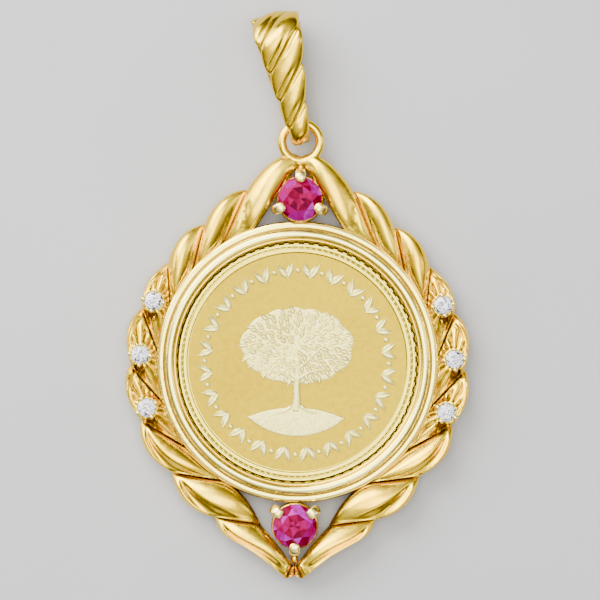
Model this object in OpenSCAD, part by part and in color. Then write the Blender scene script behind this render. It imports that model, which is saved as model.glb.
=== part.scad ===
// Coin pendant: a rope wreath frame round a coin bezel, with two rubies, six diamonds and a twisted bail.
// It lies on its back: +Z comes out of the coin's face, +Y points to the bail,
// and the origin is on the coin's axis, in the plane of the bezel's flat back.

/* [Coin] */
// Radius of the coin over the tops of its reeds
coin_r = 7.05; // [6.9:0.01:7.07]
// Thickness of the coin at its rim
coin_t = 0.95; // [0.8:0.01:0.98]
// Depth of the field below the rim
field_drop = 0.12; // [0.05:0.01:0.3]
// Number of reeds round the edge
reeds = 75; // [40:1:90]
// Number of teeth inside the rim
rim_teeth = 72; // [36:1:90]
// How far the coin has settled towards the bottom of the bezel
coin_settle = 0.03; // [0:0.01:0.04]

/* [Bezel] */
// Outer radius of the bezel
bezel_r = 8.18; // [8:0.01:8.4]
// Height of the bezel's domed face above the back
bezel_h = 2.0; // [1.9:0.05:2.4]
// Radius of the opening in front of the coin
lip_r = 7.0; // [6.95:0.01:7.02]
// Radius of the opening behind the coin
back_r = 6.4; // [6:0.05:6.6]
// Thickness of the ledge behind the coin
ledge_t = 0.5; // [0.3:0.05:0.6]

/* [Wreath] */
// Height of the wreath's underside above the back
wreath_z = 0.35; // [0.2:0.05:0.5]
// Height at which the wreath is widest
girth_z = 0.95; // [0.8:0.05:1.1]
// Sections in each lobe
lobe_steps = 8; // [6:1:10]

/* [Top ring] */
// Distance of the ring's centre from the coin's axis
ring_y = 12.76; // [12.6:0.01:12.9]
// Radius of the ring to the middle of its wire
ring_r = 1.1; // [1:0.01:1.2]
// Radius of the ring's wire
ring_wire = 0.265; // [0.22:0.005:0.28]
// Height of the ring's middle above the back
ring_z = 1.42; // [1.4:0.01:1.5]

/* [Bail] */
// Length of the bail from the ring wire to its top
bail_len = 6.65; // [6:0.05:7.5]
// Width of the bail at its top
bail_top_w = 2.85; // [2.5:0.05:3]
// Width of the bail at the ring
bail_low_w = 1.15; // [0.9:0.05:1.2]
// Inner depth of the loop where it is roomiest
bail_gap = 2.3; // [2:0.05:2.6]
// Angle of the bail to the left of upright, in degrees
bail_lean = 13; // [8:0.5:16]
// Angle by which the bail's top is raised so that it rests on its back, in degrees
bail_tilt = 6.2; // [6.1:0.1:8]

/* [Stones] */
// Radius of each ruby
ruby_r = 1.3; // [1.1:0.01:1.32]
// Radius of each diamond
diamond_r = 0.54; // [0.45:0.01:0.56]
// Gap between a stone and its metal
stone_gap = 0.03; // [0.02:0.005:0.05]

/* [Hidden] */
$fn = 64;

gold = "goldenrod";
coin_gold = "khaki";
ruby_red = "crimson";
clear_stone = "lavender";

bore_gap = 0.05;                          // room round the coin in the bezel
bore_r = coin_r + bore_gap;
coin_z = ledge_t + 0.02;
lip_z = coin_z + coin_t + 0.03;
seat_r = bezel_r - 0.1;                   // the wreath's inner edge sinks this far into the bezel's wall

// The wreath's right side: a row for each groove, with the lobe that starts there.
// notch = groove's outer end, inner = its inner end; bulge, lean and full shape the lobe's outer edge,
// bow and bow_lean its inner edge; ridge = height of its top above the back.
// [notch_x, notch_y, inner_x, inner_y, bulge, lean, full, bow, bow_lean, ridge]
lobes = [
    [0.00, 11.88, 0.00, 11.45, 0.67, 0.65, 0.8, 0.65, 1.90, 2.05],
    [3.08,  9.92, 4.45,  6.70, 0.51, 0.85, 0.8, 0.00, 1.00, 2.10],
    [5.52,  7.90, 6.15,  5.20, 0.49, 0.85, 0.9, 0.00, 1.00, 2.10],
    [7.63,  5.65, 7.40,  3.15, 0.48, 1.00, 1.0, 0.00, 1.00, 2.00],
    [9.10,  2.97, 8.04,  0.30, 0.59, 0.80, 1.1, 0.00, 1.00, 2.00],
    [9.74, -0.36, 7.60, -2.65, 0.55, 0.90, 0.8, 0.00, 1.00, 2.00],
    [9.04, -3.53, 6.20, -5.13, 0.64, 0.90, 0.9, 0.00, 1.00, 2.10],
    [7.18, -6.56, 4.05, -6.95, 0.63, 1.00, 0.8, 0.26, 1.00, 2.10],
    [4.72, -9.05, 1.95, -9.50, 0.41, 0.45, 3.6, 0.05, 1.00, 2.05],
    [0.50, -12.6, 0.10, -11.8, 0.00, 1.00, 1.0, 0.00, 1.00, 1.60],
    [0.00, -12.42, 0.00, -11.73, 0.00, 1.00, 1.0, 0.00, 1.00, 1.60]];

// The diamonds' places on the right side, from the top: [x, y, height of the stone's girdle, axis angle]
diamond_seats = [[8.40, 3.42, 1.80, 100], [9.11, 0.28, 1.80, 95], [8.69, -2.79, 1.80, 60]];

// The ruby baskets: [y of the stone, directions of the three prongs, direction of the solder bar]
ruby_girdle_z = 1.8;
gallery_r = 1.25;
gallery_z = 0.95;
bar_l = 1.0;                              // solder bar from the gallery wire into the wreath
top_basket = [9.45, [90, 205, 335], 90];
bottom_basket = [-9.51, [142, 38, 270], 270];

function lerp(a, b, t) = a + (b - a) * t;
function unit(v) = v / norm(v);
function left_of(v) = [-v.y, v.x];
function notch(k) = [lobes[k][0], lobes[k][1]];
function inner(k) = [lobes[k][2], lobes[k][3]];
function bump(t, lean, full) = pow(max(0, sin(180 * pow(t, lean))), full);

// A point of the wreath's outer and inner edge, t of the way through lobe k
function outer_edge(k, t) = lerp(notch(k), notch(k + 1), t)
    + left_of(unit(notch(k + 1) - notch(k))) * lobes[k][4] * bump(t, lobes[k][5], lobes[k][6]);
function off_bezel(p) = norm(p) < seat_r ? p * seat_r / norm(p) : p;
function inner_edge(k, t) = off_bezel(lerp(inner(k), inner(k + 1), t)
    - left_of(unit(inner(k + 1) - inner(k))) * lobes[k][7] * bump(t, lobes[k][8], 1));

// The height of the lobe's top over its girth: low in the grooves, full between them
groove_share = 0.35;
function crown(k, t) = (lobes[k][9] - girth_z) * (groove_share + (1 - groove_share) * bump(t, 1, 0.55));

// One closed section of the wreath, from its outer edge over the top to its inner edge and back below
top_sides = 12;
low_sides = 6;
function section_angle(j) = j <= top_sides ? 180 * j / top_sides : 180 + 180 * (j - top_sides) / low_sides;
function section_rise(a) = a <= 90 ? pow(sin(a), 0.5) : a <= 180 ? pow(sin(a), 0.9) : -pow(-sin(a), 0.5);
function section(k, t) = [for (j = [0:top_sides + low_sides - 1])
    let (a = section_angle(j), p = lerp(outer_edge(k, t), inner_edge(k, t), (1 - cos(a)) / 2),
        rise = section_rise(a))
    [p.x, p.y, girth_z + rise * (rise > 0 ? crown(k, t) : girth_z - wreath_z)]];
function mirrored(s) = [for (p = s) [-p.x, p.y, p.z]];

// The faces of a ring of closed sections, as triangles
function ring_faces(m, n) = [for (i = [0:m - 1], j = [0:n - 1])
    let (a = i * n + j, b = i * n + (j + 1) % n, c = ((i + 1) % m) * n + j, d = ((i + 1) % m) * n + (j + 1) % n)
    each [[a, c, d], [a, d, b]]];
function joined(lists) = [for (l = lists) each l];

module wreath() {
    last = len(lobes) - 1;
    half = concat(
        [for (k = [0:last - 2], i = [0:lobe_steps - 1]) section(k, (1 - cos(180 * i / lobe_steps)) / 2)],
        [section(last - 1, 0), section(last - 1, 1)]);
    m = len(half);
    sections = concat(half, [for (i = [m - 2:-1:1]) mirrored(half[i])]);
    polyhedron(joined(sections), ring_faces(len(sections), top_sides + low_sides));
}

module bezel() {
    dome_r = 7.4;
    step_r = 7.7;
    band_z = 1.55;
    profile = concat(
        [[back_r, 0], [bezel_r - 0.15, 0], [bezel_r, 0.15], [bezel_r, band_z - 0.12], [bezel_r - 0.12, band_z],
            [step_r + 0.03, band_z], [step_r, band_z + 0.12]],
        [for (a = [15:15:165]) [dome_r + 0.3 * cos(a), bezel_h - 0.2 + 0.2 * sin(a)]],
        [[lip_r + 0.08, lip_z + 0.2], [lip_r, lip_z + 0.12], [lip_r, lip_z], [bore_r, lip_z], [bore_r, ledge_t],
            [back_r, ledge_t]]);
    rotate_extrude($fn = 128) polygon(profile);
}

module top_ring() {
    translate([0, ring_y, ring_z]) rotate_extrude() translate([ring_r, 0]) circle(ring_wire);
}

// A round rod between two points, with a radius at each
module rod(p, q, r1, r2) {
    v = q - p;
    translate(p) rotate([0, acos(v.z / norm(v)), atan2(v.y, v.x)]) cylinder(h = norm(v), r1 = r1, r2 = r2);
}

module basket(spec) {
    wire = 0.19;
    tip_z = ruby_girdle_z + 0.3;
    at = [0, spec[0], 0];
    translate(at + [0, 0, gallery_z]) rotate_extrude() translate([gallery_r, 0]) circle(0.13);
    for (a = spec[1]) {
        dir = [cos(a), sin(a), 0];
        foot = at + dir * (gallery_r - 0.05) + [0, 0, gallery_z - 0.3];
        shoulder = at + dir * (ruby_r + 0.13) + [0, 0, tip_z - 0.12];
        tip = at + dir * (ruby_r - 0.2) + [0, 0, tip_z];
        rod(foot, shoulder, wire, wire);
        rod(shoulder, tip, wire - 0.02, wire - 0.02);
        translate(shoulder) sphere(wire + 0.03);
        translate(tip) sphere(wire + 0.05);
    }
    bar = [cos(spec[2]), sin(spec[2]), 0];
    rod(at + bar * gallery_r + [0, 0, gallery_z - 0.05], at + bar * (gallery_r + bar_l) + [0, 0, gallery_z - 0.05],
        wire + 0.02, wire + 0.02);
}

// The room a round stone takes, grown by the stone gap
module stone_room(r) {
    g = stone_gap;
    depth = 0.82 * r;
    translate([0, 0, -depth - g]) cylinder(h = depth, r1 = 0.02, r2 = r + g);
    translate([0, 0, -g]) cylinder(h = 0.08 * r + 2 * g, r = r + g);
    translate([0, 0, 0.08 * r + g]) cylinder(h = 0.32 * r, r1 = r + g, r2 = 0.58 * r + g);
}

// A round brilliant: an octagonal table, a ring of kites, a sixteen-sided girdle and a pavilion
module stone(r) {
    thin = 0.01;
    hull() {
        translate([0, 0, 0.36 * r]) rotate(22.5) cylinder(h = thin, r = 0.57 * r, $fn = 8);
        translate([0, 0, 0.22 * r]) cylinder(h = thin, r = 0.83 * r, $fn = 8);
        cylinder(h = 0.05 * r, r = r, $fn = 16);
        translate([0, 0, -0.36 * r]) cylinder(h = thin, r = 0.62 * r, $fn = 8);
        translate([0, 0, -0.8 * r]) cylinder(h = thin, r = 0.03 * r, $fn = 8);
    }
}

module diamond_prongs(seat) {
    for (a = [0:90:270])
        translate([seat.x, seat.y, seat.z + 0.08])
            rotate(seat[3] + a) translate([diamond_r + 0.06, 0, -0.1]) sphere(0.14, $fn = 32);
}

module frame() {
    color(gold) difference() {
        union() {
            wreath();
            bezel();
            top_ring();
            basket(top_basket);
            basket(bottom_basket);
            for (side = [-1, 1], seat = diamond_seats)
                diamond_prongs([side * seat.x, seat.y, seat.z, side > 0 ? seat[3] : 180 - seat[3]]);
        }
        for (side = [-1, 1], seat = diamond_seats)
            translate([side * seat.x, seat.y, seat.z]) stone_room(diamond_r);
        for (spec = [top_basket, bottom_basket])
            translate([0, spec[0], ruby_girdle_z]) stone_room(ruby_r);
    }
}

// A flat leaf with its foot at the origin, pointing along +X
module leaf(l, w) {
    intersection() {
        translate([l / 2, w / 2 - l]) circle(l);
        translate([l / 2, l - w / 2]) circle(l);
    }
}

module coin_edge() {
    root_r = coin_r - 0.11;
    polygon([for (i = [0:reeds - 1], s = [[0, root_r], [0.25, coin_r], [0.75, coin_r], [1, root_r]])
        let (a = 360 * (i + s[0] * 0.9) / reeds) s[1] * [cos(a), sin(a)]]);
}

module coin_teeth() {
    inner_r = 6.5;
    outer_r = 6.86;
    tooth_w = 0.2;
    difference() {
        circle(outer_r);
        polygon([for (i = [0:rim_teeth - 1], s = [[0, 0], [0.5, 0], [0.5, tooth_w], [1, tooth_w]])
            let (a = 360 * (i + s[0]) / rim_teeth) (inner_r + s[1]) * [cos(a), sin(a)]]);
    }
}

// The raised design: a spreading tree on a mound, in a border of leaves and dots
module coin_design() {
    mound_r = 4.3;
    intersection() {
        circle(mound_r);
        translate([0, -9.6]) circle(7);
    }
    polygon([[-0.75, -2.7], [-0.32, -1.6], [-0.3, 0.2], [0.3, 0.2], [0.34, -1.6], [0.8, -2.7]]);
    for (i = [0:8]) rotate(-25 + i * 28.75) translate([2.15, 0]) circle(0.95);
    translate([0, 1.0]) circle(1.6);
}

module coin_border() {
    ring_at = 5.35;
    for (i = [0:23]) rotate(15 * i + 7.5) translate([0, ring_at]) rotate(i < 12 ? -145 : -35) leaf(1.05, 0.4);
    for (i = [0:23]) rotate(15 * i) translate([0, ring_at]) circle(0.16, $fn = 24);
}

module coin() {
    relief = 0.1;
    color(coin_gold) translate([0, -coin_settle, coin_z]) {
        linear_extrude(coin_t - field_drop) coin_edge();
        translate([0, 0, coin_t - field_drop - 0.05]) {
            linear_extrude(field_drop + 0.05) coin_teeth();
            linear_extrude(relief + 0.05) coin_design();
            linear_extrude(relief + 0.05) coin_border();
        }
    }
}

// The bail in its own frame: the ring wire's axis along X at the origin, its length along +Y, its front up.
// Its metal follows a line round two circles, at the ring and at the top.
bail_lobes = 9;
bail_steps = 8;
bail_sides = 14;
bail_eye = 0.5;
low_metal = 0.87;
top_metal = 0.75;
line_low_r = bail_eye + low_metal / 2;
line_top_r = bail_gap / 2 + top_metal / 2;
line_top_y = bail_len - bail_gap / 2 - top_metal;
flank = acos((line_low_r - line_top_r) / line_top_y);   // direction that the straight flanks face
low_arc = line_low_r * (180 - flank) * PI / 180;
flank_l = line_top_y * sin(flank);
half_line = low_arc + flank_l + line_top_r * flank * PI / 180;
slant = 1.15;                             // how far a groove climbs along the loop for each unit of width

// A point of the line at distance s from the bottom, up the front: [y, z, direction it faces]
function front_line(s) =
    s < low_arc ? let (a = 180 - s / line_low_r * 180 / PI) [line_low_r * cos(a), line_low_r * sin(a), a]
    : s < low_arc + flank_l ? [line_low_r * cos(flank) + (s - low_arc) * sin(flank),
        line_low_r * sin(flank) - (s - low_arc) * cos(flank), flank]
    : let (a = flank - (s - low_arc - flank_l) / line_top_r * 180 / PI)
        [line_top_y + line_top_r * cos(a), line_top_r * sin(a), a];
function bail_line(s) = s < 0 ? bail_line(s + 2 * half_line) : s > 2 * half_line ? bail_line(s - 2 * half_line)
    : s <= half_line ? front_line(s) : let (p = front_line(2 * half_line - s)) [p[0], -p[1], -p[2]];
function ease(t) = let (c = max(0, min(1, t))) c * c * (3 - 2 * c);
function bail_width(s) = lerp(bail_low_w, bail_top_w,
    min(1, (bail_line(s)[0] + line_low_r) / (line_top_y + 0.4 + line_low_r)));
function bail_half_metal(s) = lerp(low_metal, top_metal, ease(bail_line(s)[0] / line_top_y)) / 2;

function bail_section(i) =
    let (lobe = floor(i / bail_steps), t = (1 - cos(180 * (i % bail_steps) / bail_steps)) / 2,
        s0 = 2 * half_line * (lobe + t) / bail_lobes, low = 1 - bump(t, 0.85, 0.6))
    [for (j = [0:bail_sides - 1])
        let (a = 360 * j / bail_sides, w = bail_width(s0 + slant * bail_width(s0) / 2 * cos(a)),
            x = w / 2 * cos(a) * (1 - 0.15 * low), p = bail_line(s0 + slant * x), h = bail_half_metal(s0),
            e = sin(a) >= 0 ? h * pow(sin(a), 0.8) * (1 - 0.45 * low) : -h * pow(-sin(a), 0.6))
        [x, p[0] + e * cos(p[2]), p[1] + e * sin(p[2])]];

// What the ring wire sweeps as the bail swings about it, with a running gap
module ring_sweep() {
    gap = 0.05;
    reach = function (x) ring_r - sqrt(ring_r * ring_r - x * x) + ring_wire / sqrt(1 - x * x / (ring_r * ring_r)) + gap;
    steps = [0.5:0.1:0.9];
    edge = [for (x = steps) [max(bail_eye, reach(x)), x]];
    rotate([0, 90, 0]) rotate_extrude()
        polygon(concat([[0, -0.9]], [for (i = [4:-1:0]) [edge[i].x, -edge[i].y]], edge, [[0, 0.9]]));
}

module bail() {
    sections = [for (i = [0:bail_lobes * bail_steps - 1]) bail_section(i)];
    color(gold) translate([-ring_r * sin(bail_lean), ring_y + ring_r * cos(bail_lean), ring_z])
        rotate([0, 0, bail_lean]) rotate([bail_tilt, 0, 0]) difference() {
            polyhedron(joined(sections), ring_faces(len(sections), bail_sides));
            ring_sweep();
        }
}

module ruby(spec) {
    color(ruby_red) translate([0, spec[0], ruby_girdle_z]) stone(ruby_r);
}

module diamond(side, i) {
    seat = diamond_seats[i - 1];
    color(clear_stone) translate([side * seat.x, seat.y, seat.z]) stone(diamond_r);
}

frame();
coin();
bail();
ruby(top_basket);  // ruby_top
ruby(bottom_basket);  // ruby_bottom
diamond(-1, 1);  // diamond_left_1
diamond(-1, 2);  // diamond_left_2
diamond(-1, 3);  // diamond_left_3
diamond(1, 1);  // diamond_right_1
diamond(1, 2);  // diamond_right_2
diamond(1, 3);  // diamond_right_3
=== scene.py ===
# Coin pendant: a gold rope wreath round a coin, with two rubies, six diamonds and a twisted bail.
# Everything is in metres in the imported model's frame; tables and settings are in millimetres.
import math

import bmesh
import bpy
import numpy as np
from mathutils import Matrix, Vector


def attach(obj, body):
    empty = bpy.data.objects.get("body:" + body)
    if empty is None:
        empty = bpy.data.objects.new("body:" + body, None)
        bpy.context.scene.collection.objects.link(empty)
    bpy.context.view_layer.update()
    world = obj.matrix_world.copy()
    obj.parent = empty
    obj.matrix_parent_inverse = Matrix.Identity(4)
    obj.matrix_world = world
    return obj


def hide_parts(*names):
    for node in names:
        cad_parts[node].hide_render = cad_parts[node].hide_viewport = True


mm = 0.001
goldenTurn = 2.39996  # a sunflower's angle from seed to seed, in radians
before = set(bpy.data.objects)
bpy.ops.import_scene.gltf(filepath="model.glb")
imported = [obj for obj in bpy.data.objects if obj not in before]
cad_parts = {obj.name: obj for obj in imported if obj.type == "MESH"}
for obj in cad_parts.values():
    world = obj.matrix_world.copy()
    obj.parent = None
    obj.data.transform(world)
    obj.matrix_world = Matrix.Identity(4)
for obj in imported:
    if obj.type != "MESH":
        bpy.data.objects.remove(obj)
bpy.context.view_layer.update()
print("frame loaded:", len(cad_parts), "solids")


# small helpers

def metres(*place):
    return tuple(v * mm for v in place)


def roundAngles(count):
    return 2 * np.pi * np.arange(count) / count


def ringRow(centre, radius, angles, height):
    # points round a centre at one height; the radius may be one for all or one for each angle
    return np.column_stack([centre[0] + radius * np.cos(angles), centre[1] + radius * np.sin(angles),
                            np.full(len(angles), height)])


def bump(t, lean, full=1.0):
    # rises from 0 to 1 and back over t from 0 to 1
    return np.clip(np.sin(np.pi * np.power(t, lean)), 0, None) ** full


def ease(low, high, x):
    # rises smoothly from 0 at low to 1 at high
    s = np.clip((np.asarray(x, float) - low) / (high - low), 0, 1)
    return s * s * (3 - 2 * s)


def hill(x, width):
    # 1 at x = 0, and close to 0 from twice the width on
    return np.exp(-(np.asarray(x, float) / width) ** 2)


def unit(v):
    v = np.asarray(v, float)
    return v / np.linalg.norm(v)


def closeMesh(mesh, smooth=True, sharpAt=None):
    # merges doubles, turns every face outwards and sets the shading
    bm = bmesh.new()
    bm.from_mesh(mesh)
    bmesh.ops.remove_doubles(bm, verts=bm.verts, dist=1e-7)
    bmesh.ops.dissolve_degenerate(bm, edges=bm.edges, dist=1e-8)
    bmesh.ops.recalc_face_normals(bm, faces=bm.faces)
    bm.to_mesh(mesh)
    bm.free()
    mesh.polygons.foreach_set("use_smooth", [smooth] * len(mesh.polygons))
    if sharpAt:
        mesh.set_sharp_from_angle(angle=math.radians(sharpAt))
    mesh.update()


def markGrooves(mesh, marks):
    # how much painted shade each point gets in the gold's colour, from 0 to 1: the deeper in a groove it
    # lies, the more
    layer = mesh.attributes.new("groove", "FLOAT", "POINT")
    values = np.broadcast_to(np.asarray(marks, np.float32), len(mesh.vertices))
    layer.data.foreach_set("value", values.copy())


def solidPiece(name, points, faces, material, smooth=True, sharpAt=None, marks=None):
    mesh = bpy.data.meshes.new(name)
    mesh.from_pydata([tuple(p) for p in np.asarray(points, float) * mm], [], [list(f) for f in faces])
    if marks is not None:
        markGrooves(mesh, marks)
    closeMesh(mesh, smooth, sharpAt)
    mesh.materials.append(material)
    piece = bpy.data.objects.new(name, mesh)
    bpy.context.scene.collection.objects.link(piece)
    return piece


def tubeFaces(rows, sides, looped):
    # quads between neighbouring rows of a tube, with end caps where it isn't a loop
    faces = []
    for i in range(rows if looped else rows - 1):
        a, b = i * sides, ((i + 1) % rows) * sides
        for j in range(sides):
            k = (j + 1) % sides
            faces.append((a + j, b + j, b + k, a + k))
    if not looped:
        faces.append(tuple(range(sides))[::-1])
        faces.append(tuple(range((rows - 1) * sides, rows * sides)))
    return faces


def smoothPath(points, steps):
    # a Catmull-Rom curve through the points; each may carry widths after x, y and z
    p = np.asarray(points, float)
    p = np.vstack([2 * p[0] - p[1], p, 2 * p[-1] - p[-2]])
    made = []
    for i in range(1, len(p) - 2):
        for t in np.arange(steps) / steps:
            made.append(0.5 * (2 * p[i] + (p[i + 1] - p[i - 1]) * t
                               + (2 * p[i - 1] - 5 * p[i] + 4 * p[i + 1] - p[i + 2]) * t ** 2
                               + (3 * p[i] - p[i - 1] - 3 * p[i + 1] + p[i + 2]) * t ** 3))
    made.append(p[-2])
    return np.array(made)


def sweptRod(path, across, sides, roundness=2.0):
    # path rows: x, y, z, width along across, height; the section is a superellipse of that power
    path = np.asarray(path, float)
    across = unit(across)
    angles = roundAngles(sides)
    c, s = np.cos(angles), np.sin(angles)
    cx = np.sign(c) * np.abs(c) ** (2 / roundness)
    sy = np.sign(s) * np.abs(s) ** (2 / roundness)
    along = np.gradient(path[:, :3], axis=0)
    points = []
    for row, d in zip(path, along):
        up = unit(np.cross(unit(d), across))
        points.append(row[:3] + np.outer(cx * row[3] / 2, across) + np.outer(sy * row[4] / 2, up))
    return np.vstack(points), tubeFaces(len(path), sides, False)


def roundedEnds(path, length):
    # shrinks the widths over a length at both ends, so that a rod ends in a soft tip
    least = 0.12
    path = np.asarray(path, float)
    run = np.concatenate([[0], np.cumsum(np.linalg.norm(np.diff(path[:, :3], axis=0), axis=1))])
    for i, r in enumerate(run):
        d = min(r, run[-1] - r)
        if d < length:
            path[i, 3:5] *= max(least, math.sqrt(1 - (1 - d / length) ** 2))
    return path


def loftShape(rows):
    # a closed shape through rows of points, ready for growPiece
    return np.array(rows).reshape(-1, 3), tubeFaces(len(rows), len(rows[0]), False), []


def joinShapes(shapes):
    points, faces, start = [], [], 0
    for p, f in shapes:
        points.append(np.asarray(p, float))
        faces += [[start + i for i in face] for face in f]
        start += len(p)
    return np.vstack(points), faces


def bakeModifiers(piece):
    graph = bpy.context.evaluated_depsgraph_get()
    mesh = bpy.data.meshes.new_from_object(piece.evaluated_get(graph))
    piece.modifiers.clear()
    piece.data = mesh


def cutWith(piece, points, faces):
    # cuts closed shapes out of the piece and keeps the result as its mesh
    mesh = bpy.data.meshes.new("cutter")
    mesh.from_pydata([tuple(p) for p in np.asarray(points, float) * mm], [], [list(f) for f in faces])
    # the cutter's points carry full painted shade onto the walls that it cuts into the piece
    markGrooves(mesh, 1.0)
    closeMesh(mesh)
    cutter = bpy.data.objects.new("cutter", mesh)
    bpy.context.scene.collection.objects.link(cutter)
    cut = piece.modifiers.new("cut", "BOOLEAN")
    cut.operation, cut.solver, cut.object = "DIFFERENCE", "EXACT", cutter
    bakeModifiers(piece)
    bpy.data.objects.remove(cutter)


def finishPiece(piece, node, body="pendant"):
    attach(piece, body)
    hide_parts(node)


# Geometry Nodes helpers

def newTree(name, inputs):
    # inputs: (name, socket type, value); returns the tree, what it is given and its output node
    tree = bpy.data.node_groups.new(name, "GeometryNodeTree")
    tree.interface.new_socket("Geometry", in_out="INPUT", socket_type="NodeSocketGeometry")
    for title, kind, value in inputs:
        socket = tree.interface.new_socket(title, in_out="INPUT", socket_type="NodeSocket" + kind)
        if value is not None:
            socket.default_value = value
    tree.interface.new_socket("Geometry", in_out="OUTPUT", socket_type="NodeSocketGeometry")
    return tree, tree.nodes.new("NodeGroupInput").outputs, tree.nodes.new("NodeGroupOutput")


def addNode(tree, kind, inputs=(), **settings):
    # inputs: pairs of socket name or number and a value or an output socket
    node = tree.nodes.new(kind)
    for key, value in settings.items():
        setattr(node, key, value)
    for key, value in inputs:
        if isinstance(value, bpy.types.NodeSocket):
            tree.links.new(value, node.inputs[key])
        else:
            node.inputs[key].default_value = value
    return node


def mathNode(tree, operation, a, b=0.0, c=0.5):
    return addNode(tree, "ShaderNodeMath", [(0, a), (1, b), (2, c)], operation=operation).outputs[0]


def plus(tree, a, b):
    return mathNode(tree, "ADD", a, b)


def times(tree, a, b):
    return mathNode(tree, "MULTIPLY", a, b)


def closeTree(tree, output, geometry, material):
    real = addNode(tree, "GeometryNodeRealizeInstances", [("Geometry", geometry)])
    painted = addNode(tree, "GeometryNodeSetMaterial",
                      [("Geometry", real.outputs[0]), ("Material", material)])
    tree.links.new(painted.outputs[0], output.inputs["Geometry"])


def copyTree(name, sizes):
    # a tree that sets copies of its source on places of its own; sizes: the inputs that it needs for them
    return newTree(name, [
        ("Count", "Int", 24), *sizes, ("Centre", "Vector", (0, 0, 0)), ("Sway", "Float", 0.0),
        ("Size Spread", "Float", 0.0), ("Seed", "Int", 1), ("Material", "Material", None)])


def setCopies(tree, given, output, spot, angle, seedStep):
    # one copy of the source on each point, turned to its angle, with a little sway and spread in size
    place = addNode(tree, "ShaderNodeVectorMath", [(0, spot), (1, given["Centre"])])
    dots = addNode(tree, "GeometryNodePoints", [("Count", given["Count"]), ("Position", place.outputs[0])])
    seeds = [given["Seed"], plus(tree, given["Seed"], seedStep)]
    sway, spread = [
        addNode(tree, "FunctionNodeRandomValue", [(2, -1.0), (3, 1.0), ("Seed", seed)]).outputs[1]
        for seed in seeds]
    facing = plus(tree, angle, times(tree, sway, given["Sway"]))
    turned = addNode(tree, "ShaderNodeCombineXYZ", [("Z", facing)])
    size = plus(tree, times(tree, spread, given["Size Spread"]), 1.0)
    copies = addNode(tree, "GeometryNodeInstanceOnPoints", [
        ("Points", dots.outputs[0]), ("Instance", given["Geometry"]),
        ("Rotation", turned.outputs[0]), ("Scale", size)])
    closeTree(tree, output, copies.outputs[0], given["Material"])


def growPiece(name, shape, tree, values, sharpAt=None):
    # runs a tree on a small source shape and keeps the result as a plain mesh
    points, faces, edges = shape
    source = bpy.data.meshes.new(name + "_source")
    source.from_pydata([tuple(p) for p in np.asarray(points, float) * mm], edges, [list(f) for f in faces])
    piece = bpy.data.objects.new(name, source)
    bpy.context.scene.collection.objects.link(piece)
    modifier = piece.modifiers.new("grow", "NODES")
    modifier.node_group = tree
    for item in tree.interface.items_tree:
        if item.item_type == "SOCKET" and item.in_out == "INPUT" and item.name in values:
            modifier[item.identifier] = values[item.name]
    bakeModifiers(piece)
    closeMesh(piece.data, sharpAt=sharpAt)
    return piece


def buildSweepTree():
    # the source outline, swept round a circle: x is out from the circle, y is up
    tree, given, out = newTree("sweepRoundCircle", [
        ("Radius", "Float", 0.008), ("Steps", "Int", 128), ("Centre", "Vector", (0, 0, 0)),
        ("Material", "Material", None)])
    outline = addNode(tree, "GeometryNodeMeshToCurve", [("Mesh", given["Geometry"])])
    circle = addNode(tree, "GeometryNodeCurvePrimitiveCircle",
                     [("Resolution", given["Steps"]), ("Radius", given["Radius"])])
    upright = addNode(tree, "GeometryNodeSetCurveNormal", [("Curve", circle.outputs["Curve"])], mode="Z_UP")
    swept = addNode(tree, "GeometryNodeCurveToMesh",
                    [("Curve", upright.outputs[0]), ("Profile Curve", outline.outputs[0])])
    placed = addNode(tree, "GeometryNodeTransform",
                     [("Geometry", swept.outputs[0]), ("Translation", given["Centre"])])
    closeTree(tree, out, placed.outputs[0], given["Material"])
    return tree


def buildRingTree():
    # copies of the source shape round a circle, each turned to face out
    tree, given, out = copyTree("ringOfCopies", [
        ("Radius", "Float", 0.005), ("Start", "Float", 0.0), ("Turn", "Float", 0.0)])
    index = addNode(tree, "GeometryNodeInputIndex").outputs[0]
    share = mathNode(tree, "DIVIDE", index, given["Count"])
    angle = plus(tree, times(tree, share, 2 * math.pi), given["Start"])
    x, y = [times(tree, mathNode(tree, wave, angle), given["Radius"])
            for wave in ("COSINE", "SINE")]
    spot = addNode(tree, "ShaderNodeCombineXYZ", [("X", x), ("Y", y)]).outputs[0]
    setCopies(tree, given, out, spot, plus(tree, angle, given["Turn"]), 7.0)
    return tree


def buildCanopyTree():
    # leaves on a sunflower spiral inside an ellipse, pointing out from its middle
    tree, given, out = copyTree("leafCanopy", [
        ("Width", "Float", 0.003), ("Height", "Float", 0.002), ("Rise", "Float", 0.0)])
    index = addNode(tree, "GeometryNodeInputIndex").outputs[0]
    share = mathNode(tree, "DIVIDE", plus(tree, index, 0.5), given["Count"])
    reach = mathNode(tree, "SQRT", share)
    angle = times(tree, index, goldenTurn)
    x, y = [times(tree, times(tree, mathNode(tree, wave, angle), reach), given[size])
            for wave, size in (("COSINE", "Width"), ("SINE", "Height"))]
    high = times(tree, mathNode(tree, "SUBTRACT", 1.0, share), given["Rise"])
    spot = addNode(tree, "ShaderNodeCombineXYZ", [("X", x), ("Y", y), ("Z", high)]).outputs[0]
    setCopies(tree, given, out, spot, mathNode(tree, "ARCTAN2", y, x), 5.0)
    return tree


sweepTree, ringTree, canopyTree = buildSweepTree(), buildRingTree(), buildCanopyTree()


# materials

def newMaterial(name, **values):
    material = bpy.data.materials.new(name)
    material.use_nodes = True
    shader = material.node_tree.nodes["Principled BSDF"]
    for key, value in values.items():
        socket = shader.inputs[key.replace("_", " ")]
        socket.default_value = (*value, 1.0) if isinstance(value, tuple) else value
    return material, material.node_tree, shader


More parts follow.
